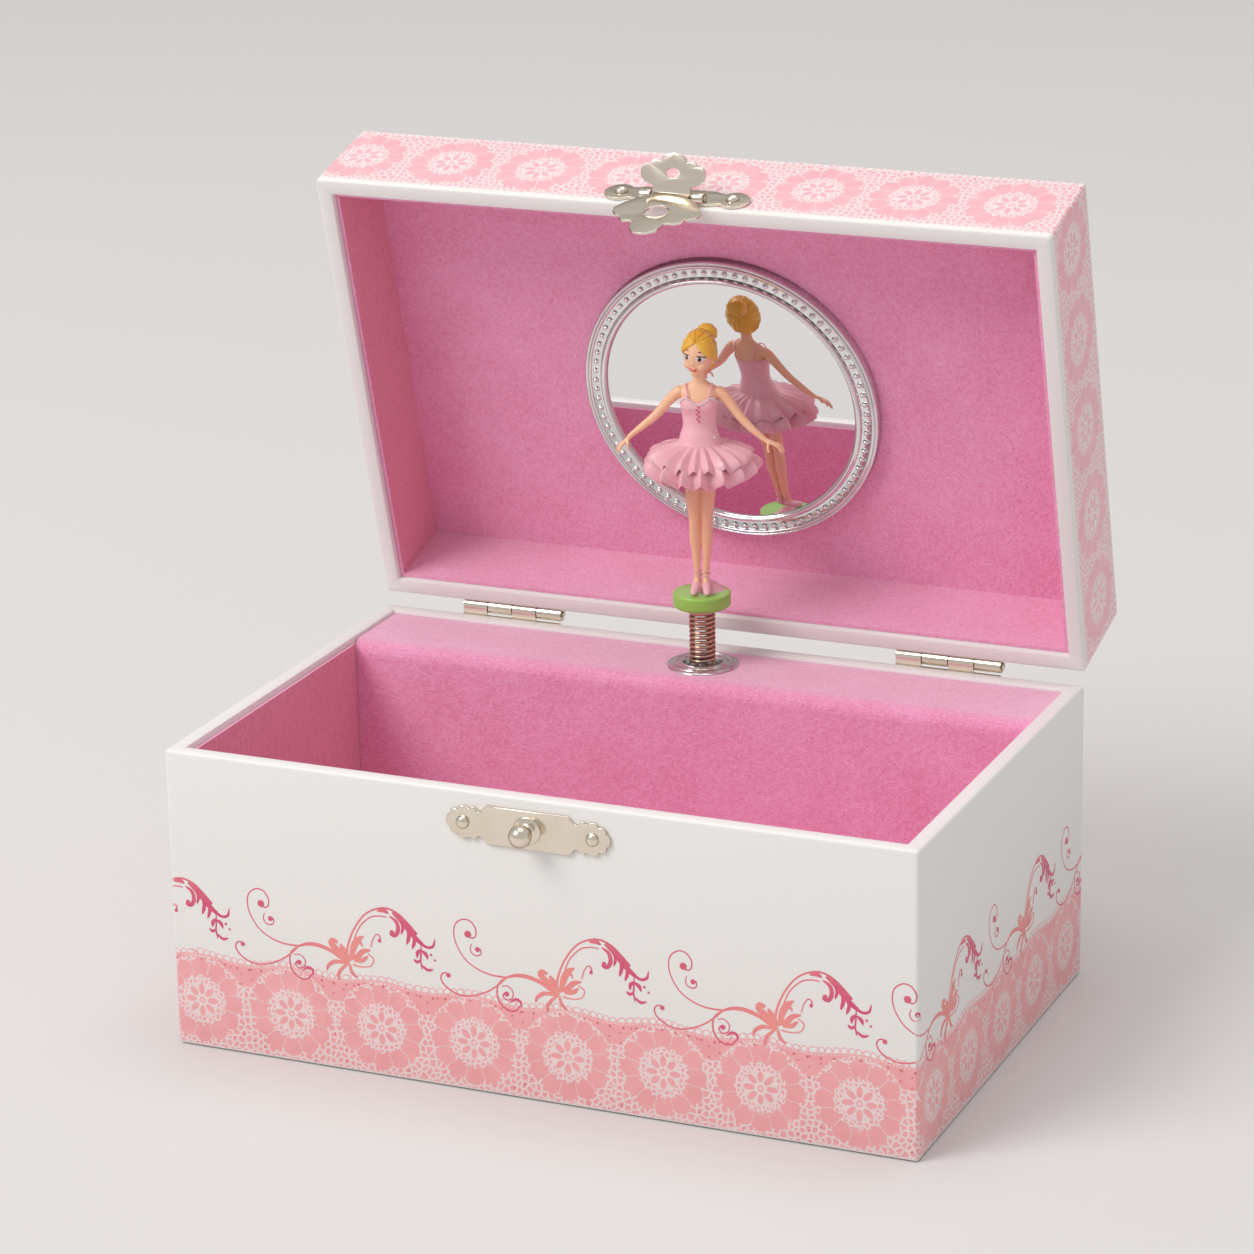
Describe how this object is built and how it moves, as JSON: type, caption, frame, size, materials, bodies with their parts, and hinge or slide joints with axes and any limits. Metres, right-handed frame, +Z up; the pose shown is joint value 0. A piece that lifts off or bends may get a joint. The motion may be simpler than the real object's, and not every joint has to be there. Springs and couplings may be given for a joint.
{
  "type": "wind-up music box",
  "caption": "Hinged-lid jewellery box with a lined compartment, a round mirror, a hasp, and a spring-mounted ballerina turned by a wind-up comb movement.",
  "frame": {"origin": "centre of the underside of the base", "axes": "+X to the right of someone facing the front, +Y to the back where the hinges are, +Z up; the lid stands open 75 degrees at rest"},
  "size_m": [0.152, 0.1234, 0.1659],
  "materials": {
    "cardboard": "grey-brown rigid board",
    "printed_paper": "satin white paper printed with a pink lace band and scrolls",
    "flock": "bright pink flocked paper",
    "felt": "thin felt sheet",
    "eyelet_silver": "polished",
    "silvered_plastic": "silver plated plastic",
    "mirror": "silvered glass",
    "copper_wire": "copper plated spring wire",
    "green_plastic": "moulded green disc on a pink cup",
    "doll_plastic": "moulded and painted doll",
    "pink_plastic": "moulded ruffles",
    "cast_metal": "plain casting",
    "brass": "machined",
    "steel": "machined",
    "nickel": "bright nickel with a warm tint"
  },
  "bodies": {
    "base": {"base_back_board": "cardboard", "base_bottom_board": "cardboard", "base_front_board": "cardboard", "base_left_board": "cardboard", "base_paper_wrap": "printed_paper", "base_right_board": "cardboard", "bottom_felt": "felt", "comb_screw_left": "steel", "comb_screw_right": "steel", "compartment_lining": "flock", "hinge_left_base_leaf": "nickel", "hinge_left_base_screw_left": "nickel", "hinge_left_base_screw_right": "nickel", "hinge_left_pin": "nickel", "hinge_right_base_leaf": "nickel", "hinge_right_base_screw_left": "nickel", "hinge_right_base_screw_right": "nickel", "hinge_right_pin": "nickel", "latch_plate": "nickel", "latch_screw_left": "nickel", "latch_screw_right": "nickel", "latch_stud": "nickel", "ledge_cover": "flock", "ledge_eyelet": "eyelet_silver", "movement_bedplate": "cast_metal", "music_comb": "steel"},
    "lid": {"clasp_plate": "nickel", "clasp_screw_left": "nickel", "clasp_screw_right": "nickel", "hasp_pin": "nickel", "hinge_left_lid_leaf": "nickel", "hinge_left_lid_screw_left": "nickel", "hinge_left_lid_screw_right": "nickel", "hinge_right_lid_leaf": "nickel", "hinge_right_lid_screw_left": "nickel", "hinge_right_lid_screw_right": "nickel", "lid_back_board": "cardboard", "lid_front_board": "cardboard", "lid_left_board": "cardboard", "lid_lining": "flock", "lid_paper_wrap": "printed_paper", "lid_right_board": "cardboard", "lid_top_board": "cardboard", "mirror_frame": "silvered_plastic", "mirror_glass": "mirror"},
    "cylinder": {"cylinder_arbor": "steel", "cylinder_wheel": "brass", "note_cylinder": "brass"},
    "figure": {"dancer": "doll_plastic", "figure_stand": "green_plastic", "tutu": "pink_plastic"},
    "spindle": {"figure_spindle": "steel"},
    "figure_spring": {"figure_spring": "copper_wire"},
    "governor_fan": {"governor_fan": "brass"},
    "governor_wheel": {"governor_wheel": "brass"},
    "hasp": {"hasp_leaf": "nickel"},
    "barrel": {"mainspring": "steel", "spring_barrel": "brass"},
    "key": {"winding_arbor": "steel", "winding_key": "nickel"}
  },
  "joints": [
    {"name": "lid_hinge", "type": "hinge", "parent": "base", "child": "lid", "pos_m": [0, 0.04955, 0.062], "axis": [1, 0, 0], "range_deg": [0, 75]},
    {"name": "hasp_hinge", "type": "hinge", "parent": "lid", "child": "hasp", "pos_m": [0, 0.02444, 0.15766], "axis": [-1, 0, 0], "range_deg": [0, 65]},
    {"name": "key_wind", "type": "hinge", "parent": "base", "child": "key", "pos_m": [0.047, 0.0402, 0.038], "axis": [0, 1, 0], "continuous": true},
    {"name": "cylinder_spin", "type": "hinge", "parent": "base", "child": "cylinder", "pos_m": [0.02, 0.0362, 0.038], "axis": [1, 0, 0], "continuous": true},
    {"name": "barrel_spin", "type": "hinge", "parent": "base", "child": "barrel", "pos_m": [0.047, 0.036, 0.038], "axis": [0, 1, 0], "continuous": true},
    {"name": "spindle_spin", "type": "hinge", "parent": "base", "child": "spindle", "pos_m": [0, 0.0362, 0.05], "axis": [0, 0, 1], "continuous": true},
    {"name": "governor_wheel_spin", "type": "hinge", "parent": "base", "child": "governor_wheel", "pos_m": [0.008, 0.0362, 0.04573], "axis": [1, 0, 0], "continuous": true},
    {"name": "governor_fan_spin", "type": "hinge", "parent": "base", "child": "governor_fan", "pos_m": [0.0088, 0.0316, 0.048], "axis": [0, 0, 1], "continuous": true},
    {"name": "figure_fold", "type": "hinge", "parent": "base", "child": "figure_spring", "pos_m": [0, 0.0362, 0.0688], "axis": [1, 0, 0], "range_deg": [0, 106], "deforming": ["figure_spring"]},
    {"name": "figure_spin", "type": "hinge", "parent": "figure_spring", "child": "figure", "pos_m": [0, 0.0362, 0.0736], "axis": [0, 0, 1], "continuous": true}
  ],
  "couplings": [
    {"joint": "figure_fold", "follows": "lid_hinge", "ratio": 1.4133},
    {"joint": "barrel_spin", "follows": "cylinder_spin", "ratio": -0.25},
    {"joint": "spindle_spin", "follows": "cylinder_spin", "ratio": -2},
    {"joint": "figure_spin", "follows": "cylinder_spin", "ratio": -2},
    {"joint": "governor_wheel_spin", "follows": "cylinder_spin", "ratio": -3},
    {"joint": "governor_fan_spin", "follows": "cylinder_spin", "ratio": -48}
  ]
}
